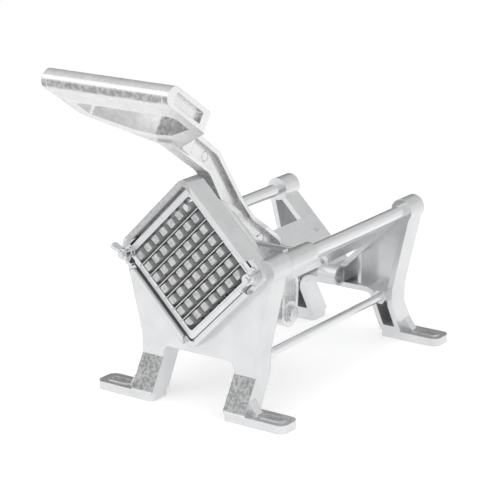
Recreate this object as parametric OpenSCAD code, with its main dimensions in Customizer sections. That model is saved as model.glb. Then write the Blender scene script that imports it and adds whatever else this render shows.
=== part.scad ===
// Lever-operated french fry cutter: two cast frames on four slotted feet, joined by
// two guide rods and two tie rods. The long lever pushes a carriage with tapered pegs
// through a square grid of blades that stands on one corner.
// Origin: on the bench, at the centre of the four foot slots. The potato comes out at -Y.

/* [Blade grid] */
// Distance between neighbouring blades
cell_pitch = 12.7; // [10:0.1:13.2]
// Cells along each side of the grid
cells = 7; // [5:1:7]
// Thickness of one blade
blade_t = 0.8; // [0.5:0.1:1.2]
// Depth of one row of blades along the push
blade_depth = 4.2; // [3:0.1:4.4]
// Thickness of the blade frame along the push
ring_t = 9.3; // [9.2:0.1:10]
// Distance from the grid's centre to the outer faces of the blade frame
ring_half = 51.5; // [51:0.1:52.8]
// Width of the raised lip round the blade frame's opening
lip_w = 1.6; // [1:0.1:2.2]

/* [Cutting head] */
// Height of the grid's centre above the bench
axis_z = 138.5; // [137:0.5:142]
// Distance from the grid's centre to the outer faces of the head
head_half = 58.5; // [58:0.1:61]
// Thickness of the head's rim
rim_t = 5; // [3.5:0.1:5.2]
// Rim height in front of the plate on the two upper sides
rim_high = 19; // [17:0.5:24]
// Rim height in front of the plate on the two lower sides
rim_low = 14.5; // [12:0.5:16]
// Outer corner radius of the head
head_r = 7; // [5:0.5:9]
// Width of the drain gap at the lowest corner
drain_w = 13; // [8:1:18]
// Distance from the centre to each blade frame stud
stud_x = 69; // [68.5:0.1:70.5]

/* [Frames] */
// Distance between the outer faces of the two frames
frame_span = 262; // [256:1:266]
// Depth of the frames' flanges
frame_depth = 24; // [22:0.5:26]
// Thickness of the frames' plates
plate_t = 5; // [4:0.1:6]
// Thickness of the flange round each frame
flange_t = 5.5; // [4:0.1:5.8]
// Height of the arch between the legs
arch_z = 50; // [48:0.5:50.5]
// Height at which the legs start to splay
knee_z = 39; // [35:0.5:41]
// Height above which the frames' outer edges lean outward
lean_z = 58; // [56:0.5:62]
// Sideways lean of the frames' outer edges, as a slope
lean_share = 0.235; // [0.2:0.005:0.25]
// Inner side of the legs from the middle
leg_in_x = 40; // [38:0.5:42]
// Width of one leg
leg_w = 24; // [22:0.5:27]
// Thickness of the ribs
rib_t = 4; // [3:0.1:5]
// Distance from the middle to each upright rib
rib_x = 24; // [21:0.5:28]

/* [Knuckles] */
// Distance from the frames' outer faces to the knuckles' axes
knuckle_back = 36; // [35:0.5:38]
// Height of the knuckles' axes
knuckle_z = 65.5; // [65:0.5:67]
// Knuckle radius
knuckle_r = 10.2; // [9:0.1:10.3]
// Width of a knuckle
knuckle_w = 21; // [18:0.5:22]
// Radius of the knuckles' bores
knuckle_bore = 7.2; // [6:0.1:7.6]

/* [Feet] */
// Slot spacing across the cutter
slot_spacing_x = 172; // [168:1:178]
// Slot spacing along the cutter
slot_spacing_y = 274; // [270:1:280]
// Foot size along the cutter
foot_depth = 26; // [25:0.5:30]
// Foot thickness
foot_t = 8; // [6:0.5:10]
// Outer corner radius of a foot
foot_r = 8; // [5:0.5:10]
// Metal beyond each end of a slot
foot_margin = 8.5; // [7:0.5:12]
// Slot length
slot_len = 23; // [18:0.5:24]
// Slot width
slot_w = 7; // [5:0.1:8]

/* [Rods] */
// Distance from the middle to each guide rod
rod_x = 73; // [72:0.5:75]
// Height of the guide rods
rod_z = 140; // [139:0.5:142]
// Guide rod diameter
rod_d = 12.7; // [11:0.1:13.5]
// Radius of the frames' bosses round the guide rods
boss_r = 11.5; // [10.5:0.1:12]
// How far the front bosses stand out behind the front frame
front_boss_len = 6.7; // [6:0.1:8]
// Distance from the middle to each tie rod
tie_x = 53; // [52:0.5:54]
// Height of the tie rods
tie_z = 49.5; // [48:0.5:52]
// Tie rod diameter
tie_d = 8; // [6:0.1:9]
// Diameter of the thick shoulder at the front of each tie rod
shoulder_d = 11; // [10:0.1:12]
// Length of that shoulder
shoulder_len = 17; // [12:1:40]
// Width across the flats of the tie rod nuts
nut_flats = 13; // [12:0.5:14]

/* [Trough] */
// Distance from the grid's axis to the frames' V seats
seat_half = 48.2; // [47.5:0.1:49]
// Thickness of the trough leaves
leaf_t = 2.2; // [1.5:0.1:2.4]
// Inner edge of each leaf from the middle
leaf_in_x = 22; // [21:0.5:26]
// Upper edge of each leaf from the middle
leaf_out_x = 43; // [38:0.5:46]
// Radius of the trough screws' shafts
leaf_screw_r = 2.2; // [1.5:0.1:2.5]

/* [Carriage and pusher] */
// Outer diameter of the sleeves
sleeve_d = 20.6; // [19:0.1:22]
// Length of the sleeves
sleeve_len = 42; // [38:1:48]
// Clearance between the peg plate and the trough leaves
pusher_slack = 3.5; // [2.5:0.1:4.5]
// Thickness of the peg plate
pusher_t = 8; // [6:0.1:9]
// Length of the pegs
peg_len = 36.5; // [33:0.5:38]
// Width of a peg at its root
peg_root = 11; // [9:0.1:11.2]
// Width of a peg at its tip
peg_tip = 7; // [5:0.1:8.5]
// Thickness of the carriage's web
web_t = 8; // [6:0.1:8.5]
// How far the carriage's web stays inside the peg plate's outline
web_inset = 4.5; // [3:0.1:8]
// Thickness of the carriage's tongue
tongue_t = 6; // [5:0.1:6.5]

/* [Lever] */
// Fulcrum position along the cutter
fulcrum_y = 1; // [0:0.5:2]
// Fulcrum height
fulcrum_z = 53; // [52:0.5:54]
// Fulcrum pin diameter
fulcrum_d = 10; // [8:0.1:11]
// Drive pin position along the cutter, at rest
drive_y = -42; // [-43:0.5:-41.5]
// Drive pin height at rest
drive_z = 137; // [136:0.5:138]
// Drive pin diameter
drive_d = 8; // [7:0.1:8.4]
// Width of the stem across the cutter
stem_w = 15; // [13:0.5:17]
// Width of the forked lower arm across the cutter
fork_w = 26; // [24:0.5:27]
// Thickness of the stem's web
stem_web = 5.5; // [4:0.1:6]
// Thickness of each fork cheek
cheek_t = 3; // [2.5:0.1:3.4]
// Thickness of the lever's edge flanges
edge_t = 4.3; // [3.5:0.1:4.8]
// Length of the grip's front bar
grip_w = 133; // [125:1:145]
// Slope of the grip below the horizontal
grip_angle = 34.5; // [33.5:0.5:35.5]
// Thickness of the grip
grip_t = 18.5; // [16:0.5:19.5]

/* [Wing nuts] */
// Stud diameter
stud_d = 6; // [5:0.1:6.4]
// Reach of a wing from the stud's axis
wing_reach = 14; // [11:0.5:15]
// Thickness of a wing
wing_t = 3.2; // [2.5:0.1:4]

/* [Hidden] */

// Overrun of every cut, clearances and fineness of round pieces
over = 1;
gap = 0.3;
fit = 0.05;
round_fn = 64;
root_two = sqrt(2);
pusher_half = seat_half - leaf_t - pusher_slack;
web_half = pusher_half - web_inset;

// Planes along the cutter
front_y = -frame_span / 2;
plate_back = front_y + plate_t;
flange_back = front_y + frame_depth;
boss_end = flange_back + front_boss_len;
slot_y = slot_spacing_y / 2;
foot_out_y = slot_y + foot_depth / 2;
foot_in_y = slot_y - foot_depth / 2;
foot_out_x = slot_spacing_x / 2 + slot_len / 2 + foot_margin;
leg_out_x = leg_in_x + leg_w;

// Larger than the whole cutter, for cuts that go right across it
wide = 200;

function unit(v) = v / norm(v);
function flat(p) = [p[0], p[1]];
function turn(a, b) = a[0] * b[1] - a[1] * b[0];
// Tangent points, centre and turn of a corner c of radius r between its neighbours p and n
function corner(p, c, n, r) = let(a = unit(flat(p) - flat(c)), b = unit(flat(n) - flat(c)),
    half = acos(a * b) / 2)
    [flat(c) + a * r / tan(half), flat(c) + b * r / tan(half),
     flat(c) + unit(a + b) * r / sin(half), turn(a, b)];
function corners(pts) = let(n = len(pts))
    [for (i = [0 : n - 1]) corner(pts[(i + n - 1) % n], pts[i], pts[(i + 1) % n], pts[i][2])];
// Outline moved inward by t, for corners listed anticlockwise
least_r = 0.5;
function inset(pts, t) = let(n = len(pts)) [for (i = [0 : n - 1])
    let(c = flat(pts[i]), a = unit(c - flat(pts[(i + n - 1) % n])), b = unit(flat(pts[(i + 1) % n]) - c),
        na = [-a[1], a[0]], nb = [-b[1], b[0]], q = c + (na + nb) * t / (1 + na * nb))
    [q[0], q[1], turn(a, b) > 0 ? max(pts[i][2] - t, least_r) : pts[i][2] + t]];
function mirrored(pts) = [for (i = [len(pts) - 1 : -1 : 0]) [-pts[i][0], pts[i][1], pts[i][2]]];

// Piece between a corner's arc and its chord, with a little of what lies behind the chord
nib_share = 0.2;
module nib(k, c, r) intersection() {
    translate(k[2]) circle(r = r, $fn = round_fn);
    polygon([k[0], flat(c), k[1], (k[0] + k[1]) / 2 * (1 - nib_share) + k[2] * nib_share]);
}
// Flat shape from corners [u, v, radius] listed anticlockwise, with true arcs
module rounded(pts) {
    k = corners(pts);
    last = len(pts) - 1;
    difference() {
        union() {
            polygon([for (i = [0 : last]) each pts[i][2] > 0 ? [k[i][0], k[i][1]] : [flat(pts[i])]]);
            for (i = [0 : last]) if (k[i][3] < 0 && pts[i][2] > 0) nib(k[i], pts[i], pts[i][2]);
        }
        for (i = [0 : last]) if (k[i][3] > 0 && pts[i][2] > 0) nib(k[i], pts[i], pts[i][2]);
    }
}

// A flat [x, z] shape given depth len from y, and a flat [y, z] shape given width len from x
module along_y(y, len) translate([0, y + len, 0]) rotate([90, 0, 0]) linear_extrude(len) children();
module along_x(x, len) translate([x, 0, 0]) rotate([90, 0, 90]) linear_extrude(len) children();
module across(w) along_x(-w / 2, w) children();
module bar_y(x, y, z, len, r) translate([x, y + len, z]) rotate([90, 0, 0])
    cylinder(h = len, r = r, $fn = round_fn);
module bar_x(x, y, z, len, r) translate([x, y, z]) rotate([0, 90, 0])
    cylinder(h = len, r = r, $fn = round_fn);
module hex_y(x, y, z, len, flats) translate([x, y + len, z]) rotate([90, 0, 0])
    cylinder(h = len, d = flats / cos(30), $fn = 6);
module hex_x(x, y, z, len, flats) translate([x, y, z]) rotate([0, 90, 0])
    cylinder(h = len, d = flats / cos(30), $fn = 6);
module both_sides() {
    children();
    mirror([1, 0, 0]) children();
}
// Square standing on one corner, centred on the grid's axis
module diamond(half, r) translate([0, axis_z]) rotate(45)
    rounded([[-half, -half, r], [half, -half, r], [half, half, r], [-half, half, r]]);
module slot_flat(len, w) {
    square([len - w, w], center = true);
    for (s = [-1, 1]) translate([s * (len - w) / 2, 0]) circle(d = w, $fn = round_fn);
}
// Place on the right V seat, u along the slope and local z towards the grid's axis
module on_seat(u, y) translate([(u + seat_half) / root_two, y, axis_z + (u - seat_half) / root_two])
    rotate([0, -45, 0]) children();
function seat_u(x) = x * root_two - seat_half;

// Frame casting, in the front frame's place
seat_z = axis_z - seat_half * root_two;
seat_r = 5;
arch_r = 7;
shoulder_r = 14;
below_knee = knee_z - frame_depth;
function edge_x(z) = leg_out_x + (z - lean_z) * lean_share;
body_right = [[leg_in_x, arch_z, arch_r], [leg_in_x, below_knee, 0], [leg_out_x, below_knee, 0],
    [leg_out_x, lean_z, shoulder_r], [edge_x(rod_z), rod_z, 0], [rod_z - seat_z, rod_z, 0]];
body = concat(body_right, [[0, seat_z, seat_r]], mirrored(body_right));
splay_share = (foot_out_y + front_y) / (knee_z - foot_t);
inner_splay_share = (foot_in_y + flange_back) / (knee_z - foot_t);
pocket_z = foot_t + flange_t;
tie_boss_r = 7.5;
tie_seat_y = flange_back;
rib_set_back = 3;
rib_back = flange_back - rib_set_back;
neck_h = 15;
knuckle_y = front_y + knuckle_back;
pad_h = 1;
pad_w = 3;
gusset_h = 13;
gusset_run = 9;
gusset_t = 9;
spigot_share = 0.36;
spigot_r = rod_d * spigot_share;
boss_skin = 4;
leaf_screw_share = 0.375;
leaf_screw_front_y = flange_back - frame_depth * leaf_screw_share;

module above_knee() intersection() {
    children();
    translate([-wide, knee_z]) square([wide + wide, wide]);
}
module leg() {
    difference() {
        along_x(leg_in_x, leg_w) polygon([[-foot_out_y, foot_t - over], [-foot_in_y, foot_t - over],
            [-foot_in_y, foot_t], [flange_back, knee_z], [front_y, knee_z], [-foot_out_y, foot_t]]);
        along_x(leg_in_x + flange_t, leg_w - flange_t - flange_t) polygon([
            [-foot_out_y + (pocket_z - foot_t) * splay_share + plate_t, pocket_z],
            [flange_back, pocket_z], [flange_back + over, knee_z + over], [plate_back, knee_z + over],
            [plate_back, knee_z]]);
    }
    difference() {
        union() {
            linear_extrude(foot_t) rounded([
                [leg_in_x, -foot_out_y, seat_r], [foot_out_x, -foot_out_y, foot_r],
                [foot_out_x, -foot_in_y, foot_r], [leg_in_x, -foot_in_y, seat_r]]);
            translate([slot_spacing_x / 2, -slot_y]) linear_extrude(foot_t + pad_h)
                slot_flat(slot_len + pad_w + pad_w, slot_w + pad_w + pad_w);
        }
        translate([slot_spacing_x / 2, -slot_y, -over]) linear_extrude(foot_t + pad_h + over + over)
            slot_flat(slot_len, slot_w);
    }
    along_y(-slot_y - gusset_t / 2, gusset_t) polygon([[leg_out_x - over, foot_t - over],
        [leg_out_x + gusset_run, foot_t - over], [leg_out_x + gusset_run, foot_t],
        [leg_out_x, foot_t + gusset_h], [leg_out_x - over, foot_t + gusset_h]]);
}
module casting() {
    difference() {
        union() {
            along_y(front_y, plate_t) above_knee() rounded(body);
            along_y(front_y, frame_depth) above_knee() difference() {
                rounded(body);
                rounded(inset(body, flange_t));
            }
            along_y(plate_back - over, rib_back - plate_back + over) above_knee() intersection() {
                rounded(body);
                both_sides() translate([rib_x - rib_t / 2, arch_z]) square([rib_t, rod_z - arch_z]);
            }
            both_sides() {
                leg();
                bar_y(rod_x, front_y, rod_z, frame_depth, boss_r);
                bar_y(tie_x, plate_back - over, tie_z, tie_seat_y - plate_back + over, tie_boss_r);
            }
            bar_x(-knuckle_w / 2, knuckle_y, knuckle_z, knuckle_w, knuckle_r);
            across(knuckle_w) translate([plate_back - over, knuckle_z - neck_h / 2])
                square([knuckle_y - plate_back + over, neck_h]);
        }
        bar_x(-knuckle_w / 2 - over, knuckle_y, knuckle_z, knuckle_w + over + over, knuckle_bore);
        both_sides() {
            bar_y(tie_x, plate_back, tie_z, frame_depth, tie_d / 2 + fit);
            for (y = [leaf_screw_front_y]) on_seat(seat_u(leaf_mid_x), y)
                translate([0, 0, -flange_t - over]) cylinder(h = flange_t + over + over,
                    r = leaf_screw_r + fit, $fn = round_fn);
        }
    }
}
leaf_mid_x = (leaf_in_x + leaf_out_x) / 2;
ring_y = front_y - ring_t;
opening_half = 45.2;
opening_r = 3;
rim_in_r = 4;
stud_hole_y = plate_back - over;
wing_room = 2;
relief_r = wing_reach + wing_room;
module head() {
    difference() {
        union() {
            along_y(front_y, plate_t) diamond(head_half, head_r);
            along_y(front_y - rim_high, rim_high + over) difference() {
                diamond(head_half, head_r);
                diamond(head_half - rim_t, rim_in_r);
            }
        }
        along_y(front_y - over, plate_t + over + over) diamond(opening_half, opening_r);
        translate([-wide, front_y - rim_high - over, 0])
            cube([wide + wide, rim_high - rim_low + over, axis_z]);
        translate([-drain_w / 2, front_y - rim_high - over, 0])
            cube([drain_w, rim_high - ring_t + over, axis_z - opening_half]);
        both_sides() bar_y(stud_x, front_y - rim_high - over, axis_z, rim_high - ring_t + over, relief_r);
    }
}

module front_frame() color([0.78, 0.79, 0.8]) difference() {
    union() {
        casting();
        head();
        both_sides() bar_y(rod_x, flange_back - over, rod_z, front_boss_len + over, boss_r);
    }
    both_sides() {
        bar_y(rod_x, plate_back + boss_skin, rod_z, frame_depth + front_boss_len, rod_d / 2 + fit);
        bar_y(stud_x, front_y - over, axis_z, stud_hole_y - front_y + over, stud_d / 2 + fit);
    }
}
module rear_frame() color([0.78, 0.79, 0.8]) mirror([0, 1, 0]) difference() {
    casting();
    both_sides() bar_y(rod_x, front_y - over, rod_z, frame_depth + over + over, spigot_r + fit);
}

// Guide rods with a stepped rear end, held by a screw from behind
rod_screw_r = 2.5;
rod_screw_len = 16;
module guide_rod() difference() {
    union() {
        bar_y(rod_x, plate_back + boss_skin + gap, rod_z, -flange_back - plate_back - boss_skin - gap,
            rod_d / 2);
        bar_y(rod_x, -flange_back - over, rod_z, frame_depth - plate_t / 2 + over, spigot_r);
    }
    bar_y(rod_x, -front_y - rod_screw_len - over, rod_z, rod_screw_len + over + over, rod_screw_r + fit);
}
module guide_rod_left() color([0.7, 0.71, 0.73]) mirror([1, 0, 0]) guide_rod();
module guide_rod_right() color([0.7, 0.71, 0.73]) guide_rod();
screw_head_r = 7;
screw_head_t = 4;
key_flats = 5;
module guide_rod_screws() color([0.5, 0.51, 0.53]) both_sides() difference() {
    union() {
        bar_y(rod_x, -front_y - rod_screw_len, rod_z, rod_screw_len + over, rod_screw_r);
        bar_y(rod_x, -front_y, rod_z, screw_head_t, screw_head_r);
    }
    hex_y(rod_x, -front_y + screw_head_t / 2, rod_z, screw_head_t, key_flats);
}

// Tie rods with a thick shoulder behind the front frame
module tie_rod() {
    bar_y(tie_x, plate_back + fit, tie_z, -plate_back - plate_back - fit - fit, tie_d / 2);
    bar_y(tie_x, tie_seat_y, tie_z, shoulder_len, shoulder_d / 2);
}
module tie_rod_left() color([0.72, 0.73, 0.75]) mirror([1, 0, 0]) tie_rod();
module tie_rod_right() color([0.72, 0.73, 0.75]) tie_rod();
nut_t = 7;
module tie_rod_nuts() color([0.6, 0.61, 0.63]) both_sides() difference() {
    hex_y(tie_x, -tie_seat_y - nut_t, tie_z, nut_t, nut_flats);
    bar_y(tie_x, -tie_seat_y - nut_t - over, tie_z, nut_t + over + over, tie_d / 2 + fit);
}

// Trough leaves, screwed to the V seats
leaf_front_y = plate_back + gap;
leaf_rear_y = -plate_back - over - over;
leaf_mid_y = 31;
function screw_rows() = [leaf_screw_front_y, leaf_mid_y, -leaf_screw_front_y];
module leaf() difference() {
    along_y(leaf_front_y, leaf_rear_y - leaf_front_y) translate([0, axis_z]) rotate(45)
        translate([seat_u(leaf_in_x), -seat_half]) square([(leaf_out_x - leaf_in_x) * root_two, leaf_t]);
    for (y = screw_rows()) on_seat(seat_u(leaf_mid_x), y) translate([0, 0, -over])
        cylinder(h = leaf_t + over + over, r = leaf_screw_r + fit, $fn = round_fn);
}
module trough_left() color([0.8, 0.81, 0.82]) mirror([1, 0, 0]) leaf();
module trough_right() color([0.8, 0.81, 0.82]) leaf();
leaf_head_r = 4.4;
leaf_head_t = 1.8;
leaf_nut_flats = 7.5;
leaf_nut_t = 3;
module trough_screws() color([0.75, 0.76, 0.78]) both_sides() for (y = screw_rows())
    on_seat(seat_u(leaf_mid_x), y) {
        translate([0, 0, leaf_t]) cylinder(h = leaf_head_t, r = leaf_head_r, $fn = round_fn);
        translate([0, 0, -flange_t])
            cylinder(h = flange_t + leaf_t + over, r = leaf_screw_r, $fn = round_fn);
        if (y == leaf_mid_y) translate([0, 0, -leaf_nut_t])
            cylinder(h = leaf_nut_t, d = leaf_nut_flats / cos(30), $fn = 6);
    }

// Removable blade frame: slots open to the front for one row and to the rear for the other
blade_in = 3;
slot_gap = 0.25;
ring_r = 4;
lip_h = 0.9;
row_gap = 0.1;
front_row_y = ring_y + lip_h / 2;
rear_row_y = front_y - row_gap - blade_depth;
spot_r = 7.4;
module row(reach, t) for (i = [1 : cells - 1])
    translate([-reach, (i - cells / 2) * cell_pitch - t / 2]) square([reach + reach, t]);
module on_grid() translate([0, axis_z]) rotate(45) children();
module blade_frame() color([0.8, 0.81, 0.82]) difference() {
    union() {
        along_y(ring_y, ring_t) diamond(ring_half, ring_r);
        along_y(ring_y - lip_h, lip_h + over) diamond(opening_half + lip_w, ring_r);
    }
    along_y(ring_y - lip_h - over, ring_t + lip_h + over + over) diamond(opening_half, opening_r);
    both_sides() {
        bar_y(stud_x, ring_y - over, axis_z, ring_t + over + over, stud_d / 2 + gap);
        translate([stud_x, ring_y - over, axis_z - stud_d / 2 - gap])
            cube([ring_half, ring_t + over + over, stud_d + gap + gap]);
        bar_y(stud_x, ring_y - lip_h - over, axis_z, lip_h + over, spot_r);
    }
    along_y(ring_y - lip_h - over, front_row_y + blade_depth + row_gap / 2 - ring_y + lip_h + over)
        on_grid() row(opening_half + blade_in + gap, blade_t + slot_gap);
    along_y(rear_row_y - row_gap / 2, blade_depth + row_gap + over)
        on_grid() rotate(90) row(opening_half + blade_in + gap, blade_t + slot_gap);
}
module front_blades() color([0.62, 0.63, 0.65]) along_y(front_row_y, blade_depth)
    on_grid() row(opening_half + blade_in, blade_t);
module rear_blades() color([0.62, 0.63, 0.65]) along_y(rear_row_y, blade_depth)
    on_grid() rotate(90) row(opening_half + blade_in, blade_t);

// Studs, washers and wing nuts that hold the blade frame
washer_t = 1.2;
washer_r = 7;
hub_r = 5.2;
hub_base_r = 6.2;
hub_base_len = 3;
wing_root_share = 0.6;
wing_foot_share = 0.45;
hub_len = 10;
hub_y = ring_y - washer_t - hub_len;
stud_out = 3;
wing_len = 11;
wing_r = 3;
module blade_studs() color([0.7, 0.71, 0.73]) both_sides()
    bar_y(stud_x, hub_y - stud_out, axis_z, stud_hole_y - hub_y + stud_out - fit, stud_d / 2);
module stud_washers() color([0.72, 0.73, 0.75]) both_sides() difference() {
    bar_y(stud_x, ring_y - washer_t, axis_z, washer_t, washer_r);
    bar_y(stud_x, ring_y - washer_t - over, axis_z, washer_t + over + over, stud_d / 2 + fit);
}
module wing_nut(lean) translate([0, 0, axis_z]) rotate([0, lean, 0]) difference() {
    union() {
        bar_y(0, hub_y, 0, hub_len, hub_r);
        bar_y(0, hub_y + hub_len - hub_base_len, 0, hub_base_len, hub_base_r);
        both_sides() translate([0, 0, -wing_t / 2]) linear_extrude(wing_t) rounded([
            [0, hub_y - stud_out, 0], [hub_r, hub_y, wing_r],
            [wing_reach * wing_root_share, hub_y - stud_out, wing_r],
            [wing_reach, hub_y - stud_out, wing_r],
            [wing_reach, hub_y + wing_len * wing_foot_share, wing_r],
            [0, hub_y + wing_len * wing_root_share, 0]]);
    }
    bar_y(0, hub_y - stud_out - over, 0, hub_len + stud_out + over + over, stud_d / 2 + fit);
}
left_lean = 35;
right_lean = -60;
module wing_nut_left() color([0.76, 0.77, 0.78]) translate([-stud_x, 0, 0]) wing_nut(left_lean);
module wing_nut_right() color([0.76, 0.77, 0.78]) translate([stud_x, 0, 0]) wing_nut(right_lean);

// Pusher: a plate with one tapered peg for every cell of the grid
web_y = boss_end + gap;
pusher_y = web_y - pusher_t;
pusher_r = 8;
peg_tip_y = pusher_y - peg_len;
corner_peg_z = axis_z + (cells - 1) / 2 * cell_pitch * root_two;
peg_screw_r = 2;
peg_head_r = 2.9;
peg_head_t = 1.5;
module peg_row() for (i = [0 : cells - 1]) translate([(i - (cells - 1) / 2) * cell_pitch, 0])
    polygon([[-peg_tip / 2, peg_tip_y], [peg_tip / 2, peg_tip_y], [peg_root / 2, pusher_y],
        [peg_root / 2, pusher_y + over], [-peg_root / 2, pusher_y + over], [-peg_root / 2, pusher_y]]);
module rear_screw_places() for (s = [-1, 1], t = [-1, 1])
    translate([s * rear_screw_x, 0, axis_z + t * rear_screw_rise]) children();
web_screw_r = 2.5;
web_head_r = 4.5;
web_head_t = 3;
web_screw_in = 5;
module pusher_block() color([0.76, 0.77, 0.78]) difference() {
    union() {
        along_y(pusher_y, pusher_t) diamond(pusher_half, pusher_r);
        intersection() {
            translate([0, 0, axis_z]) rotate([0, -45, 0]) intersection() {
                translate([0, 0, -pusher_half - over])
                    linear_extrude(pusher_half + pusher_half + over + over) peg_row();
                rotate([0, 90, 0]) translate([0, 0, -pusher_half - over])
                    linear_extrude(pusher_half + pusher_half + over + over) peg_row();
            }
            along_y(peg_tip_y - over, peg_len + over + over) diamond(pusher_half, pusher_r);
        }
    }
    bar_y(0, peg_tip_y - over, corner_peg_z, peg_len + over + over + fit, peg_screw_r + fit);
    rear_screw_places() bar_y(0, web_y - web_screw_in, 0, web_screw_in + over, web_screw_r + fit);
    across(stem_w + over + over) polygon([[web_y, room_low_z], [web_y + over, room_low_z],
        [web_y + over, pusher_top_z], [stem_front_y(pusher_top_z) - gap - gap, pusher_top_z]]);
}
module pusher_screws() color([0.55, 0.56, 0.58]) {
    bar_y(0, peg_tip_y, corner_peg_z, peg_len + over, peg_screw_r);
    bar_y(0, peg_tip_y - peg_head_t, corner_peg_z, peg_head_t, peg_head_r);
    rear_screw_places() {
        bar_y(0, web_y - web_screw_in + gap, 0, web_screw_in + web_t, web_screw_r);
        bar_y(0, web_y + web_t, 0, web_head_t, web_head_r);
    }
}

// Carriage: web behind the pusher, saddle arms with cheeks beside the lever, sleeves, slotted tongue
web_back = web_y + web_t;
web_r = 8;
notch_w = fork_w + over + over;
notch_rise = 20;
notch_z = axis_z + notch_rise;
band_h = 26;
cheek_room = 1.5;
cheek_in_x = fork_w / 2 + cheek_room;
saddle_t = 4;
rear_screw_x = cheek_in_x + saddle_t + web_head_r + over + over;
rear_screw_drop = 3.001;
rear_screw_rise = (web_half - web_head_r - over) * root_two - rear_screw_x - rear_screw_drop;
saddle_y = web_y + sleeve_len;
arm_low_share = 0.62;
arm_low_z = rod_z - sleeve_d * arm_low_share;
arm_floor_t = 5.5;
slack_front = 0.8;
slack_rear = 2.6;
slot_front_y = drive_y - drive_d / 2 - slack_front;
slot_rear_y = drive_y + drive_d / 2 + slack_rear;
slot_r = (slot_rear_y - slot_front_y) / 2;
prong_t = 5;
slot_drop = 14;
slot_low_z = drive_z - slot_drop;
tongue_low_z = slot_low_z - prong_t;
slot_rise = 12;
tongue_top_z = drive_z + slot_rise;
cheek_shares = [[0, 0], [0.8, 0], [0.94, 0.13], [0.5, 0.42], [0.12, 1], [0, 1]];
cheek_run = 88;
cheek_rise = 46;
cheek_drop = 10;
cheek_low_z = arm_low_z - cheek_drop;
arm_r = 3;
module carriage() color([0.77, 0.78, 0.79]) difference() {
    union() {
        along_y(web_y, web_t) {
            diamond(web_half, web_r);
            translate([-rod_x, rod_z - band_h / 2]) square([rod_x + rod_x, band_h]);
        }
        both_sides() {
            bar_y(rod_x, web_y + over / 2, rod_z, sleeve_len, sleeve_d / 2);
            along_x(cheek_in_x, rod_x - cheek_in_x) rounded([[web_y + over, arm_low_z, 0],
                [saddle_y - arm_floor_t, arm_low_z, arm_r], [saddle_y, arm_low_z + arm_floor_t, arm_r],
                [saddle_y, rod_z + arm_r, arm_r / 2], [saddle_y - saddle_t, rod_z + arm_r, arm_r / 2],
                [saddle_y - saddle_t, arm_low_z + arm_floor_t, arm_r],
                [web_y + over, arm_low_z + arm_floor_t, 0]]);
            along_x(cheek_in_x, saddle_t) translate([web_back - over, cheek_low_z])
                polygon([for (s = cheek_shares) [s[0] * cheek_run, s[1] * cheek_rise]]);
        }
        across(tongue_t) polygon([[web_back - over, tongue_low_z], [slot_rear_y, tongue_low_z],
            [slot_rear_y + prong_t, tongue_low_z + prong_t],
            [slot_rear_y + prong_t, tongue_top_z - prong_t],
            [slot_rear_y, tongue_top_z], [slot_front_y - prong_t, tongue_top_z],
            [web_back - over, tongue_top_z + prong_t]]);
    }
    across(tongue_t + over + over) {
        translate([slot_front_y, slot_low_z + slot_r]) square([slot_r + slot_r, wide]);
        translate([slot_front_y + slot_r, slot_low_z + slot_r]) circle(r = slot_r, $fn = round_fn);
    }
    along_y(web_y - over, web_t + over + over) translate([-notch_w / 2, notch_z]) square([notch_w, wide]);
    both_sides() bar_y(rod_x, web_y - over, rod_z, sleeve_len + over + over + over, rod_d / 2 + fit);
    rear_screw_places() bar_y(0, web_y - over, 0, web_t + over + over, web_screw_r + fit);
}

// Lever: I-section stem that widens into a forked arm, with a D grip at the top
stem_run = 176;
stem_rise = 206;
grip_reach = 79;
grip_lift = 54.5;
grip_y = fulcrum_y - stem_run - grip_reach;
grip_z = fulcrum_z + stem_rise + grip_lift;
grip_len = 138;
eye_r = 13;
// Corners as shares of the stem's run and rise from the fulcrum, and of its run for the radius
lever_shares = [[-1.01, 0.996, 0], [-0.682, 0.803, 0.14], [-0.482, 0.51, 0.14], [-0.307, 0.379, 0.2],
    [-0.131, 0.277, 0.15], [-0.074, 0.189, 0.1], [-0.074, 0, 0], [0.074, 0, 0], [0.09, 0.15, 0.16],
    [-0.085, 0.393, 0.2], [-0.318, 0.539, 0.1], [-0.597, 0.888, 0.12], [-0.85, 1.044, 0]];
lever_line = [for (s = lever_shares) [fulcrum_y + s[0] * stem_run, fulcrum_z + s[1] * stem_rise,
    s[2] * stem_run]];
pusher_top_z = axis_z + pusher_half * root_two;
// Front edge of the stem, which the pusher's top corner makes room for at rest
stem_lean = (lever_line[1][0] - lever_line[2][0]) / (lever_line[1][1] - lever_line[2][1]);
function stem_front_y(z) = lever_line[2][0] + (z - lever_line[2][1]) * stem_lean;
room_low_z = lever_line[2][1] + (web_y + gap + gap - lever_line[2][0]) / stem_lean;
cheek_out_x = tongue_t / 2 + gap + cheek_t;
fork_gap = tongue_t + gap + gap;
fork_room = 17;
fork_top_z = tongue_top_z + fork_room;
web_step_up = 5;
web_step_z = fork_top_z + web_step_up;
web_step_h = 9;
fork_taper = 36;
stem_top_z = tongue_top_z + fork_taper;
fork_full_z = tongue_top_z;
high_z = grip_z;
bar_deep = 39;
arm_end = 67;
grip_nose = 10.5;
grip_r = 7.5;
nose_in = 6.75;
nose_top_r = 9;
module stepped(low_half, mid_z, top_z, high_half) along_y(-wide - grip_len, wide + wide + grip_len)
    polygon([[-low_half, 0], [low_half, 0], [low_half, mid_z], [high_half, top_z], [high_half, high_z],
        [-high_half, high_z], [-high_half, top_z], [-low_half, mid_z]]);
opening_shares = [[-0.8, 0.28, 0.1], [0.8, 0.28, 0.1], [0.8, 0.46, 0.1], [0.3, 0.635, 0.14],
    [0, 0.665, 0.3], [-0.3, 0.635, 0.14], [-0.8, 0.46, 0.1]];
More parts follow.
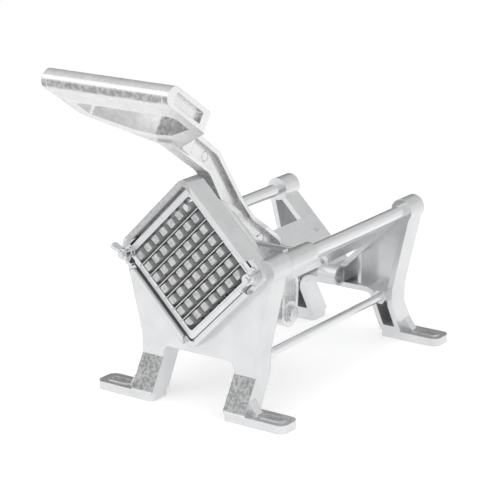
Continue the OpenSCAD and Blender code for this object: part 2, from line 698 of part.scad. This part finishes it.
grip_shares = [[-1, 0.2, 0], [1, 0.2, 0], [1, 0.49, 0.1], [0.16, 0.855, 0.2], [0.113, 1, 0],
    [-0.113, 1, 0],
    [-0.16, 0.855, 0.2], [-1, 0.49, 0.1]];
function on_grip(shares) = [for (s = shares) [s[0] * grip_w / 2, s[1] * grip_len, s[2] * grip_w / 2]];
end_recess_t = 4;
module grip() translate([0, grip_y, grip_z]) rotate([-grip_angle, 0, 0]) translate([0, -grip_nose, 0])
    difference() {
        union() {
            linear_extrude(grip_t) rounded(on_grip(grip_shares));
            across(grip_w) rounded([[0, 0, grip_r], [bar_deep, 0, 0], [bar_deep, grip_t, 0],
                [nose_in, grip_t, nose_top_r]]);
        }
        translate([0, 0, -over]) linear_extrude(grip_t + over + over) rounded(on_grip(opening_shares));
        both_sides() along_x(grip_w / 2 - end_recess_t, end_recess_t + over)
            rounded([[grip_nose + end_recess_t, end_recess_t, over],
                [arm_end - grip_nose, end_recess_t, over],
                [arm_end - grip_nose, grip_t - end_recess_t, over],
                [grip_nose + end_recess_t, grip_t - end_recess_t, over]]);
    }
module lever() color([0.8, 0.81, 0.82]) difference() {
    union() {
        intersection() {
            across(fork_w) difference() {
                rounded(lever_line);
                rounded(inset(lever_line, edge_t));
            }
            stepped(fork_w / 2, fork_full_z, stem_top_z, stem_w / 2);
        }
        intersection() {
            across(fork_w) rounded(lever_line);
            stepped(cheek_out_x, web_step_z, web_step_z + web_step_h, stem_web / 2);
        }
        bar_x(-fork_w / 2, fulcrum_y, fulcrum_z, fork_w, eye_r);
        grip();
    }
    across(fork_gap) polygon([[-wide, 0], [wide, 0], [wide, fork_top_z], [-wide, fork_top_z]]);
    bar_x(-fork_w, fulcrum_y, fulcrum_z, fork_w + fork_w, fulcrum_d / 2 + fit);
    bar_x(-fork_w, drive_y, drive_z, fork_w + fork_w, drive_d / 2 + fit);
}
pin_head_share = 0.6;
pin_head_r = drive_d * pin_head_share;
pin_head_t = 1.2;
clip_share = 0.78;
clip_r = drive_d * clip_share;
clip_gap_share = 0.35;
module drive_pin() color([0.7, 0.71, 0.73]) {
    bar_x(-cheek_out_x - pin_head_t - over, drive_y, drive_z, cheek_out_x + cheek_out_x + pin_head_t
        + over + gap, drive_d / 2);
    bar_x(cheek_out_x + fit + fit, drive_y, drive_z, pin_head_t, pin_head_r);
}
module drive_pin_clip() color([0.45, 0.46, 0.48]) difference() {
    bar_x(-cheek_out_x - pin_head_t, drive_y, drive_z, pin_head_t, clip_r);
    bar_x(-cheek_out_x - pin_head_t - over, drive_y, drive_z, pin_head_t + over + over, drive_d / 2 + fit);
    translate([-cheek_out_x - pin_head_t - over, drive_y - drive_d * clip_gap_share, 0])
        cube([pin_head_t + over + over, drive_d * clip_gap_share * 2, drive_z]);
}

// Bar that carries the fulcrum, clamped on the front knuckle with its heel on the arch flange
yoke_in_x = knuckle_w / 2 + gap;
yoke_t = 4;
yoke_out_x = yoke_in_x + yoke_t;
yoke_y = knuckle_y + knuckle_r + over;
yoke_h = 16;
yoke_block = 8;
heel_z = arch_z + flange_t;
heel_h = 12;
bar_eye_r = 11;
bar_low = 9;
bar_bend_r = 14;
bar_lip_t = 3.5;
bar_lip_x = 8;
bar_front_y = yoke_y + yoke_block;
bar_end_room = 6;
bar_end_y = fulcrum_y - eye_r - bar_end_room;
bar_sag_share = 0.3;
bar_line = [[yoke_y, knuckle_z - yoke_h / 2, 0], [bar_front_y, knuckle_z - yoke_h / 2, yoke_block],
    [fulcrum_y + (yoke_y - fulcrum_y) * bar_sag_share, fulcrum_z - bar_low, bar_bend_r],
    [fulcrum_y, fulcrum_z - bar_eye_r, 0],
    [fulcrum_y, fulcrum_z + bar_eye_r, 0], [bar_front_y, knuckle_z + yoke_h / 2, yoke_block],
    [yoke_y, knuckle_z + yoke_h / 2, 0]];
module fulcrum_bracket() color([0.74, 0.75, 0.76]) difference() {
    union() {
        across(tongue_t) rounded(bar_line);
        intersection() {
            across(bar_lip_x + bar_lip_x) difference() {
                rounded(bar_line);
                rounded(inset(bar_line, bar_lip_t));
            }
            translate([-wide, yoke_y, 0]) cube([wide + wide, bar_end_y - yoke_y, wide]);
        }
        bar_x(-tongue_t / 2, fulcrum_y, fulcrum_z, tongue_t, bar_eye_r);
        across(yoke_out_x + yoke_out_x) translate([yoke_y, knuckle_z - yoke_h / 2])
            square([yoke_block, yoke_h]);
        both_sides() {
            bar_x(yoke_in_x, knuckle_y, knuckle_z, yoke_t, knuckle_r);
            along_x(yoke_in_x, yoke_t) translate([knuckle_y, knuckle_z - yoke_h / 2])
                square([yoke_y - knuckle_y + over, yoke_h]);
            along_x(yoke_in_x, yoke_t) translate([plate_back + gap, heel_z])
                square([knuckle_y - plate_back - gap, heel_h]);
        }
    }
    bar_x(-yoke_out_x - over, knuckle_y, knuckle_z, yoke_out_x + yoke_out_x + over + over,
        knuckle_bore - gap + fit);
    bar_x(-tongue_t, fulcrum_y, fulcrum_z, tongue_t + tongue_t, fulcrum_d / 2 + fit);
}
bolt_flats = 19;
bolt_head_t = 5;
module bracket_bolt() color([0.66, 0.67, 0.69]) {
    bar_x(-yoke_out_x - bolt_head_t - over, knuckle_y, knuckle_z,
        yoke_out_x + yoke_out_x + bolt_head_t + over + over, knuckle_bore - gap);
    hex_x(yoke_out_x, knuckle_y, knuckle_z, bolt_head_t, bolt_flats);
}
module bracket_nut() color([0.6, 0.61, 0.63]) difference() {
    hex_x(-yoke_out_x - bolt_head_t, knuckle_y, knuckle_z, bolt_head_t, bolt_flats);
    bar_x(-yoke_out_x - bolt_head_t - over, knuckle_y, knuckle_z, bolt_head_t + over + over,
        knuckle_bore - gap + fit);
}
fulcrum_washer_t = 1.5;
fulcrum_washer_r = 8.6;
washer_x = fork_w / 2 + fit + fit;
pin_head_len = 3.5;
fulcrum_head_share = 0.7;
pin_head_rad = fulcrum_d * fulcrum_head_share;
pin_nut_t = 6;
pin_nut_flats = 15;
module fulcrum_pin() color([0.72, 0.73, 0.75]) {
    bar_x(-washer_x - fulcrum_washer_t - pin_nut_t - over, fulcrum_y, fulcrum_z,
        washer_x + washer_x + fulcrum_washer_t + fulcrum_washer_t + pin_nut_t + over + over,
        fulcrum_d / 2);
    bar_x(washer_x + fulcrum_washer_t, fulcrum_y, fulcrum_z, pin_head_len, pin_head_rad);
}
module fulcrum_washers() color([0.74, 0.75, 0.77]) both_sides() difference() {
    bar_x(washer_x, fulcrum_y, fulcrum_z, fulcrum_washer_t, fulcrum_washer_r);
    bar_x(washer_x - over, fulcrum_y, fulcrum_z, fulcrum_washer_t + over + over, fulcrum_d / 2 + fit);
}
module fulcrum_nut() color([0.6, 0.61, 0.63]) difference() {
    hex_x(-washer_x - fulcrum_washer_t - pin_nut_t, fulcrum_y, fulcrum_z, pin_nut_t, pin_nut_flats);
    bar_x(-washer_x - fulcrum_washer_t - pin_nut_t - over, fulcrum_y, fulcrum_z, pin_nut_t + over + over,
        fulcrum_d / 2 + fit);
}

front_frame();
rear_frame();
guide_rod_left();
guide_rod_right();
guide_rod_screws();
tie_rod_left();
tie_rod_right();
tie_rod_nuts();
trough_left();
trough_right();
trough_screws();
blade_frame();
front_blades();
rear_blades();
blade_studs();
stud_washers();
wing_nut_left();
wing_nut_right();
pusher_block();
pusher_screws();
carriage();
drive_pin();
drive_pin_clip();
lever();
fulcrum_bracket();
bracket_bolt();
bracket_nut();
fulcrum_pin();
fulcrum_washers();
fulcrum_nut();
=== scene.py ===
"""Lever-operated french fry cutter: tumbled castings, steel rods, ground blades, pale floor."""

import math

import bpy
from mathutils import Matrix, Vector

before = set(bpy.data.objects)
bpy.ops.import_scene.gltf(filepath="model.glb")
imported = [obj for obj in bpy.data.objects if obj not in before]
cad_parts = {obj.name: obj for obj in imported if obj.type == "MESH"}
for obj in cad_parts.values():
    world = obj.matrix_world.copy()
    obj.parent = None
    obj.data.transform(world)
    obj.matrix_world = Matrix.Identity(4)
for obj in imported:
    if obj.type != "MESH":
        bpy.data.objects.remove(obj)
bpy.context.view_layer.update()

# Finishes by CAD node
FRAMES = ["front_frame", "rear_frame"]
SMALL_CASTINGS = ["carriage", "fulcrum_bracket"]
RODS = ["guide_rod_left", "guide_rod_right", "tie_rod_left", "tie_rod_right"]
LEAVES = ["trough_left", "trough_right"]
FASTENERS = ["guide_rod_screws", "tie_rod_nuts", "trough_screws", "blade_studs", "stud_washers",
             "pusher_screws", "drive_pin", "drive_pin_clip", "bracket_bolt", "bracket_nut",
             "fulcrum_pin", "fulcrum_washers", "fulcrum_nut", "wing_nut_left", "wing_nut_right"]

# What the tumbled skin's clouds, pits and grain do, and how coarse they are beside the grain
CLOUD_SHARE, CLOUD_DULLS = 0.09, 0.1
PIT_SHARE, PIT_DULLS, PIT_ROUGHENS, PIT_RAISES = 0.55, 0.85, 0.2, 0.6
GRAIN_ROUGHENS, GRAIN_RAISES = 0.08, 0.1
# The same for the drawn lines
SMEAR_SHARE, LINE_ROUGHENS, PALEST_LINE, DARKEST_LINE = 0.02, 0.08, 1.0, 0.86
# Share of a metal's colour that its darkest spots keep
DARK_SHARE = 0.3
BEVEL_SAMPLES = 4

# Places in the castings, in metres
FOOT_TOP_Z, KNEE_Z = 0.0095, 0.0385
RIM_FRONT_Y, RIM_LEFT_X, RIM_LOW_Z = -0.1475, 0.006, 0.144
NOSE_Y, GRIP_LINE_X, GRIP_LOW_Z = -0.2475, 0.061, 0.24
STEM_LOW_Z, STEM_TOP_Z = 0.165, 0.262
HOLE_FRONT_Y, HOLE_BACK_Y, HOLE_LOW_Z = -0.238, -0.166, 0.235
EJECTOR_MARKS = [(-0.038, 0.1385), (-0.12, 0.234)]
EJECTOR_R, THIN_LINE = 0.0045, 0.0003

# Parts of a face's direction in the masks: from, to and, where there is a third, softness
PANEL_UP, PANEL_ACROSS, FOOT_TOP_UP = (0.42, 0.62, 0.05), (0.7, 0.95, 0.05), (0.93, 0.96)
RIM_AHEAD, PEG_AHEAD = (-0.9, -0.7), (-0.99, -0.9)
NOSE_UP, NOSE_AHEAD, CROWN_UP = (-0.72, 0.16, 0.3), (-0.9, -0.6), (0.68, 0.8)
STEM_AHEAD, WEB_ACROSS, UNDER_DOWN = (-0.62, -0.5), (0.9, 0.95), (-0.74, -0.68)
HOLE_UP, HOLE_AHEAD = (0.3, 0.75, 0.1), (-0.5, -0.3)
# How much of the cast skin shows there, and everywhere else on the same piece; the levels for the
# stem's front edge, the grip's underside and its opening are painted shade
RIM_SKIN, FOOT_TOP_SKIN, FRAME_SKIN = 0.6, 0.45, 0.04
CROWN_SKIN, STEM_PAINTED_SHADE, MARK_SKIN, UNDER_PAINTED_SHADE, LEVER_SKIN = 0.32, 0.85, 0.8, 0.28, 0.05
HOLE_LEFT_PAINTED_SHADE, HOLE_RIGHT_PAINTED_SHADE = 0.35, 1.0
PEG_TIP_SKIN, PEG_SKIN = 0.5, 0.25

# Stage, in metres and watts
FLOOR_SIZE, FLOOR_COLOUR, FLOOR_ROUGHNESS, FLOOR_GLOW = 60.0, 0.9, 0.7, 0.33
SHADOW_REACH, WHITE_REACH = 0.25, 0.8
WALL_SLOPE = (0.18, -0.2, 0.14)
WALL_WAVES, DARKER_WALL, PALER_WALL = 1.6, 0.62, 0.78
WALL_PATCHES = [  # direction, where the patch starts, added strength
    ((0.6, 0.79, -0.08), 0.84, 0.38),
    ((-0.55, -0.75, 0.37), 0.8, 0.35),
    ((-0.57, 0.78, 0.26), 0.9, -0.22),
]
SOFTBOXES = [  # name, place, size, power
    ("key_softbox", (-1.2, -1.6, 2.2), (2.6, 2.0), 7.0),
    ("side_softbox", (2.0, -0.2, 1.0), (0.7, 1.6), 3.0),
    ("top_softbox", (0.0, 0.5, 2.4), (1.8, 1.8), 5.0),
]
SOFTBOX_AIM = (0.0, 0.0, 0.15)
CAMERA_PLACE = (1.01152, -1.49843, 0.67314)
CAMERA_YAW, CAMERA_PITCH, CAMERA_ROLL = 35.17, 16.85, -0.56
SENSOR_MM, LENS_MM, CAMERA_REACH = 36.0, 148.47, 50.0


class Net:
    """Short calls that add and link the nodes of one material, world or group."""

    def __init__(self, tree):
        self.nodes, self.links = tree.nodes, tree.links

    def put(self, value, socket):
        """Link an output to the socket, or write a plain value into it."""
        if isinstance(value, bpy.types.NodeSocket):
            self.links.new(value, socket)
        else:
            socket.default_value = value

    def maths(self, operation, a, b=0.0, clamp=False):
        node = self.nodes.new("ShaderNodeMath")
        node.operation = operation
        node.use_clamp = clamp
        self.put(a, node.inputs[0])
        self.put(b, node.inputs[1])
        return node.outputs[0]

    def plus(self, first, *others):
        for other in others:
            first = self.maths("ADD", first, other)
        return first

    def times(self, first, *others):
        for other in others:
            first = self.maths("MULTIPLY", first, other, clamp=True)
        return first

    def most(self, first, *others):
        for other in others:
            first = self.maths("MAXIMUM", first, other, clamp=True)
        return first

    def absolute(self, value):
        return self.maths("ABSOLUTE", value)

    def vector_maths(self, operation, a, b=(0.0, 0.0, 0.0), output="Value"):
        node = self.nodes.new("ShaderNodeVectorMath")
        node.operation = operation
        self.put(a, node.inputs[0])
        self.put(b, node.inputs[1])
        return node.outputs[output]

    def coordinates(self, output):
        return self.nodes.new("ShaderNodeTexCoord").outputs[output]

    def split(self, vector):
        node = self.nodes.new("ShaderNodeSeparateXYZ")
        self.links.new(vector, node.inputs[0])
        return node.outputs

    def noise(self, where, scale, detail):
        node = self.nodes.new("ShaderNodeTexNoise")
        node.inputs["Detail"].default_value = detail
        self.put(where, node.inputs["Vector"])
        self.put(scale, node.inputs["Scale"])
        return node.outputs["Fac"]

    def ramp(self, value, low, high, at_low=0.0, at_high=1.0):
        """A straight change from one level to another while the value goes from low to high."""
        node = self.nodes.new("ShaderNodeMapRange")
        for label, level in (("Value", value), ("From Min", low), ("From Max", high),
                             ("To Min", at_low), ("To Max", at_high)):
            self.put(level, node.inputs[label])
        return node.outputs["Result"]

    def rise(self, value, low, high, level=1.0):
        return self.ramp(value, low, high, 0.0, level)

    def fall(self, value, low, high, level=1.0):
        return self.ramp(value, low, high, level, 0.0)

    def window(self, value, low, high, soft):
        """1 between low and high, falling to 0 over soft on both sides."""
        return self.times(self.rise(value, low - soft, low), self.fall(value, high, high + soft))


# Shared surface effects

def surface_group(name, inputs):
    """A group that puts out tone, roughness and height, with its net and its ends."""
    group = bpy.data.node_groups.new(name, "ShaderNodeTree")
    for label, kind, value in inputs:
        socket = group.interface.new_socket(label, in_out="INPUT", socket_type=kind)
        socket.default_value = value
    for label in ("Tone", "Roughness", "Height"):
        group.interface.new_socket(label, in_out="OUTPUT", socket_type="NodeSocketFloat")
    net = Net(group)
    given = net.nodes.new("NodeGroupInput").outputs
    return group, net, given, net.nodes.new("NodeGroupOutput").inputs


def tumbled_skin_group():
    """Cloudy, softly peened skin of a polished casting, dull and grainy where it is as cast, and
    darker where a mask paints shade.
    """
    group, net, given, out = surface_group("tumbled_skin", [
        ("Grain per metre", "NodeSocketFloat", 420.0), ("Mottle and shade", "NodeSocketFloat", 0.0),
        ("Base roughness", "NodeSocketFloat", 0.3)])
    place, per_metre = net.coordinates("Object"), given["Grain per metre"]
    grain = net.noise(place, per_metre, 1.5)
    cloud = net.noise(place, net.maths("MULTIPLY", per_metre, CLOUD_SHARE), 3.0)
    pits = net.noise(place, net.maths("MULTIPLY", per_metre, PIT_SHARE), 2.0)
    mottled_and_shaded = net.times(net.ramp(pits, 0.4, 0.62, 0.62, 1.0), given["Mottle and shade"])
    dull = net.times(net.rise(cloud, 0.35, 0.7), CLOUD_DULLS)
    darker = net.plus(dull, net.times(mottled_and_shaded, PIT_DULLS))
    rougher = net.plus(net.times(grain, GRAIN_ROUGHENS), net.times(mottled_and_shaded, PIT_ROUGHENS))
    net.put(net.maths("SUBTRACT", 1.0, darker), out["Tone"])
    net.put(net.plus(given["Base roughness"], rougher), out["Roughness"])
    higher = net.plus(net.times(grain, GRAIN_RAISES), net.times(mottled_and_shaded, PIT_RAISES))
    net.put(higher, out["Height"])
    return group


def drawn_lines_group():
    """Fine lines along the drawn or ground direction, from a pattern stretched that way."""
    group, net, given, out = surface_group("drawn_lines", [
        ("Stretch", "NodeSocketVector", (1.0, 1.0, 1.0)),
        ("Lines per metre", "NodeSocketFloat", 2500.0),
        ("Base roughness", "NodeSocketFloat", 0.25)])
    place, per_metre = net.coordinates("Object"), given["Lines per metre"]
    stretched = net.vector_maths("MULTIPLY", place, given["Stretch"], "Vector")
    lines = net.noise(stretched, per_metre, 2.0)
    smear = net.noise(place, net.maths("MULTIPLY", per_metre, SMEAR_SHARE), 2.0)
    rougher = net.plus(net.times(lines, LINE_ROUGHENS), net.times(smear, LINE_ROUGHENS))
    net.put(net.ramp(lines, 0.3, 0.7, DARKEST_LINE, PALEST_LINE), out["Tone"])
    net.put(net.plus(given["Base roughness"], rougher), out["Roughness"])
    net.put(lines, out["Height"])
    return group


TUMBLED = tumbled_skin_group()
DRAWN = drawn_lines_group()


# Masks of the places that keep their cast skin, and of places darkened as painted shade; points
# and faces as they lie in the piece

def place_and_facing(net):
    return net.split(net.coordinates("Object")), net.split(net.coordinates("Normal"))


def head_rim(net, point, facing):
    """Belt marks on the front of the head's upper left rim and round its top corner."""
    return net.times(net.fall(facing["Y"], *RIM_AHEAD),
                     net.fall(point["Y"], RIM_FRONT_Y, RIM_FRONT_Y + 0.0005),
                     net.fall(point["X"], RIM_LEFT_X, RIM_LEFT_X + 0.003),
                     net.rise(point["Z"], RIM_LOW_Z, RIM_LOW_Z + 0.002), RIM_SKIN)


def leg_panels_foot_tops_and_rim(net):
    """The splayed panels between knee and foot, darkened as painted shade with the skin's mottle,
    the tops of the feet and the rim's belt marks.
    """
    point, facing = place_and_facing(net)
    # Painted shade on the splayed panels, mottled like the cast skin
    panel_skin_and_shade = net.times(net.window(facing["Z"], *PANEL_UP),
                      net.window(net.absolute(facing["Y"]), *PANEL_ACROSS),
                      net.window(point["Z"], FOOT_TOP_Z, KNEE_Z, 0.001))
    top = net.times(net.rise(facing["Z"], *FOOT_TOP_UP),
                    net.fall(point["Z"], FOOT_TOP_Z, FOOT_TOP_Z + 0.002, FOOT_TOP_SKIN))
    return net.plus(net.most(panel_skin_and_shade, top, head_rim(net, point, facing)), FRAME_SKIN)


def ring(net, point, centre):
    """A thin ring round a point of the lever's web, as an ejector pin leaves it."""
    beside = net.nodes.new("ShaderNodeCombineXYZ")
    net.put(point["Y"], beside.inputs["Y"])
    net.put(point["Z"], beside.inputs["Z"])
    away = net.vector_maths("DISTANCE", beside.outputs[0], (0.0, *centre))
    return net.window(away, EJECTOR_R - THIN_LINE, EJECTOR_R + THIN_LINE, THIN_LINE)


def grip_and_stem(net):
    """The grip's nose, crown, opening and underside, the stem's front edge and ejector marks; the
    nose's lower face, the opening, the underside and the stem's front edge get painted shade.
    """
    point, facing = place_and_facing(net)
    front = net.fall(point["Y"], NOSE_Y, NOSE_Y + 0.002)
    # Painted shade on the nose's lower, forward-facing face, mottled like the cast skin
    nose = net.times(front, net.window(facing["Z"], *NOSE_UP), net.fall(facing["Y"], *NOSE_AHEAD))
    crown = net.times(front, net.rise(facing["Z"], *CROWN_UP), CROWN_SKIN)
    # Painted shade on the stem's front edge
    stem = net.times(net.fall(facing["Y"], *STEM_AHEAD, STEM_PAINTED_SHADE),
                     net.window(point["Z"], STEM_LOW_Z, STEM_TOP_Z, 0.006))
    # Painted shade in the grip's opening, deepest on its right side
    hole = net.times(net.window(point["Y"], HOLE_FRONT_Y, HOLE_BACK_Y, 0.001),
                     net.rise(point["Z"], HOLE_LOW_Z, HOLE_LOW_Z + 0.005),
                     net.window(facing["Z"], *HOLE_UP), net.fall(facing["Y"], *HOLE_AHEAD),
                     net.ramp(point["X"], -0.0005, 0.0005, HOLE_LEFT_PAINTED_SHADE, HOLE_RIGHT_PAINTED_SHADE))
    marks = net.times(net.most(*(ring(net, point, centre) for centre in EJECTOR_MARKS)),
                      net.rise(net.absolute(facing["X"]), *WEB_ACROSS, MARK_SKIN))
    # Painted shade on the grip's underside
    under = net.times(net.fall(facing["Z"], *UNDER_DOWN, UNDER_PAINTED_SHADE),
                      net.rise(point["Z"], GRIP_LOW_Z, GRIP_LOW_Z + 0.01))
    line = net.window(net.absolute(point["X"]), GRIP_LINE_X - 0.0002, GRIP_LINE_X + 0.0002,
                      THIN_LINE)
    # Cast skin together with the painted shade above
    skin = net.most(nose, crown, stem, hole, marks, under)
    plain = net.maths("SUBTRACT", 1.0, net.times(front, line))
    return net.plus(net.times(skin, plain), LEVER_SKIN)


def peg_tips(net):
    """The flat tips of the pegs are duller than their sides."""
    facing = place_and_facing(net)[1]
    return net.plus(net.fall(facing["Y"], *PEG_AHEAD, PEG_TIP_SKIN), PEG_SKIN)


# Metals

def metal(name, colour, group, values, bump, bump_depth, edge_radius, mottle_and_shade_from=None, sheen=1.0):
    """A metal with one surface group for tone, roughness and height, and softly rounded edges.

    Sheen is how much of the light is mirrored; the rest is scattered by the fine peening.
    """
    mat = bpy.data.materials.new(name)
    mat.use_nodes = True
    net = Net(mat.node_tree)
    shader = net.nodes["Principled BSDF"].inputs
    shader["Metallic"].default_value = sheen
    skin = net.nodes.new("ShaderNodeGroup")
    skin.node_tree = group
    for label, value in values.items():
        skin.inputs[label].default_value = value
    # The mask brings mottle and, on the frames and lever, painted shade
    if mottle_and_shade_from:
        net.put(mottle_and_shade_from(net), skin.inputs["Mottle and shade"])
    tint = net.nodes.new("ShaderNodeMix")
    tint.data_type = "RGBA"
    tint.inputs["A"].default_value = (*(DARK_SHARE * part for part in colour), 1.0)
    tint.inputs["B"].default_value = (*colour, 1.0)
    net.put(skin.outputs["Tone"], tint.inputs["Factor"])
    net.put(tint.outputs["Result"], shader["Base Color"])
    net.put(skin.outputs["Roughness"], shader["Roughness"])
    edge = net.nodes.new("ShaderNodeBevel")
    edge.samples = BEVEL_SAMPLES
    edge.inputs["Radius"].default_value = edge_radius
    relief = net.nodes.new("ShaderNodeBump")
    relief.inputs["Strength"].default_value = bump
    relief.inputs["Distance"].default_value = bump_depth
    net.put(skin.outputs["Height"], relief.inputs["Height"])
    net.put(edge.outputs["Normal"], relief.inputs["Normal"])
    net.put(relief.outputs["Normal"], shader["Normal"])
    return mat


def dress(names, mat):
    for name in names:
        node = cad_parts[name]
        node.data.materials.clear()
        node.data.materials.append(mat)


def finish_the_metal():
    dress(FRAMES, metal(
        "tumbled_frame", (0.74, 0.744, 0.752), TUMBLED,
        {"Grain per metre": 620.0, "Base roughness": 0.2},
        bump=0.2, bump_depth=0.0002, edge_radius=0.0009,
        mottle_and_shade_from=leg_panels_foot_tops_and_rim, sheen=0.85))
    dress(["lever"], metal(
        "tumbled_lever", (0.88, 0.882, 0.888), TUMBLED,
        {"Grain per metre": 480.0, "Base roughness": 0.21},
        bump=0.14, bump_depth=0.0002, edge_radius=0.001, mottle_and_shade_from=grip_and_stem, sheen=0.7))
    dress(SMALL_CASTINGS, metal(
        "tumbled_casting", (0.76, 0.764, 0.772), TUMBLED,
        {"Grain per metre": 600.0, "Mottle and shade": 0.12, "Base roughness": 0.2},
        bump=0.4, bump_depth=0.00015, edge_radius=0.0007))
    dress(["blade_frame"], metal(
        "blade_frame_skin", (0.8, 0.805, 0.815), TUMBLED,
        {"Grain per metre": 700.0, "Mottle and shade": 0.1, "Base roughness": 0.24},
        bump=0.3, bump_depth=0.0001, edge_radius=0.0004))
    dress(["pusher_block"], metal(
        "tumbled_pegs", (0.88, 0.885, 0.89), TUMBLED,
        {"Grain per metre": 900.0, "Base roughness": 0.34},
        bump=0.5, bump_depth=0.00015, edge_radius=0.0006, mottle_and_shade_from=peg_tips, sheen=0.62))
    dress(RODS, metal(
        "drawn_rod", (0.82, 0.825, 0.835), DRAWN,
        {"Stretch": (1.0, 0.02, 1.0), "Lines per metre": 1500.0, "Base roughness": 0.12},
        bump=0.04, bump_depth=0.00002, edge_radius=0.0005))
    dress(LEAVES, metal(
        "rolled_leaf", (0.78, 0.785, 0.8), DRAWN,
        {"Stretch": (1.0, 0.03, 1.0), "Lines per metre": 1500.0, "Base roughness": 0.24},
        bump=0.12, bump_depth=0.00005, edge_radius=0.0003))
    # The rear blades are the same ground steel as the front ones; their dark colour is painted
    # shade
    for node, name, colour in (("front_blades", "ground_blade", (0.78, 0.785, 0.79)),
                               ("rear_blades", "ground_blade_painted_shade", (0.3, 0.302, 0.306))):
        dress([node], metal(
            name, colour, DRAWN,
            {"Stretch": (1.0, 0.05, 1.0), "Lines per metre": 3000.0, "Base roughness": 0.16},
            bump=0.1, bump_depth=0.00003, edge_radius=0.0001))
    dress(FASTENERS, metal(
        "plated_fastener", (0.76, 0.765, 0.775), TUMBLED,
        {"Grain per metre": 1400.0, "Mottle and shade": 0.1, "Base roughness": 0.07},
        bump=0.3, bump_depth=0.00005, edge_radius=0.0004))


# Stage, lights and camera

def pale_floor():
    """Takes the cutter's shadow and turns plain white round it."""
    bpy.ops.mesh.primitive_plane_add(size=FLOOR_SIZE, location=(0.0, 0.0, 0.0))
    floor = bpy.context.object
    floor.name = "pale_floor"
    mat = bpy.data.materials.new("pale_floor_paint")
    mat.use_nodes = True
    net = Net(mat.node_tree)
    paint = net.nodes["Principled BSDF"]
    paint.inputs["Base Color"].default_value = (FLOOR_COLOUR, FLOOR_COLOUR, FLOOR_COLOUR, 1.0)
    paint.inputs["Roughness"].default_value = FLOOR_ROUGHNESS
    glow = net.nodes.new("ShaderNodeEmission")
    glow.inputs["Strength"].default_value = FLOOR_GLOW
    near = net.nodes.new("ShaderNodeAddShader")
    net.put(paint.outputs[0], near.inputs[0])
    net.put(glow.outputs[0], near.inputs[1])
    far = net.nodes.new("ShaderNodeEmission")
    blend = net.nodes.new("ShaderNodeMixShader")
    reach = net.vector_maths("LENGTH", net.coordinates("Object"))
    net.put(net.rise(reach, SHADOW_REACH, WHITE_REACH), blend.inputs["Fac"])
    net.put(near.outputs[0], blend.inputs[1])
    net.put(far.outputs[0], blend.inputs[2])
    net.put(blend.outputs[0], net.nodes["Material Output"].inputs["Surface"])
    floor.data.materials.append(mat)


def studio_world():
    """A soft studio with paler and darker walls; the white behind the cutter is the floor's."""
    world = bpy.data.worlds.new("studio")
    bpy.context.scene.world = world
    world.use_nodes = True
    net = Net(world.node_tree)
    back = net.nodes["Background"].inputs
    back["Color"].default_value = (1.0, 1.0, 1.0, 1.0)
    heading = net.coordinates("Generated")
    wave = net.ramp(net.noise(heading, WALL_WAVES, 1.0), 0.35, 0.65, DARKER_WALL, PALER_WALL)
    walls = net.plus(net.vector_maths("DOT_PRODUCT", heading, WALL_SLOPE), wave)
    for direction, start, strength in WALL_PATCHES:
        nearness = net.vector_maths("DOT_PRODUCT", heading, direction)
        walls = net.plus(walls, net.rise(nearness, start, 1.0, strength))
    net.put(walls, back["Strength"])


def softbox(name, place, size, power):
    data = bpy.data.lights.new(name, "AREA")
    data.shape = "RECTANGLE"
    data.size, data.size_y = size
    data.energy = power
    lamp = bpy.data.objects.new(name, data)
    bpy.context.scene.collection.objects.link(lamp)
    lamp.location = place
    aim = Vector(SOFTBOX_AIM) - Vector(place)
    lamp.rotation_euler = aim.to_track_quat("-Z", "Y").to_euler()


def photo_camera():
    """Long lens at the photograph's angle."""
    yaw, pitch, roll = (math.radians(a) for a in (CAMERA_YAW, CAMERA_PITCH, CAMERA_ROLL))
    ahead = Vector((-math.sin(yaw) * math.cos(pitch), math.cos(yaw) * math.cos(pitch),
                    -math.sin(pitch)))
    level = Vector((math.cos(yaw), math.sin(yaw), 0.0))
    upright = level.cross(ahead)
    right = level * math.cos(roll) + upright * math.sin(roll)
    up = upright * math.cos(roll) - level * math.sin(roll)
    data = bpy.data.cameras.new("photo_camera")
    data.sensor_width = SENSOR_MM
    data.lens = LENS_MM
    data.clip_end = CAMERA_REACH
    camera = bpy.data.objects.new("photo_camera", data)
    bpy.context.scene.collection.objects.link(camera)
    turn = Matrix((right, up, -ahead)).transposed().to_4x4()
    camera.matrix_world = Matrix.Translation(CAMERA_PLACE) @ turn
    bpy.context.scene.camera = camera


finish_the_metal()
pale_floor()
studio_world()
for box in SOFTBOXES:
    softbox(*box)
photo_camera()

bpy.context.scene.view_settings.view_transform = "Standard"
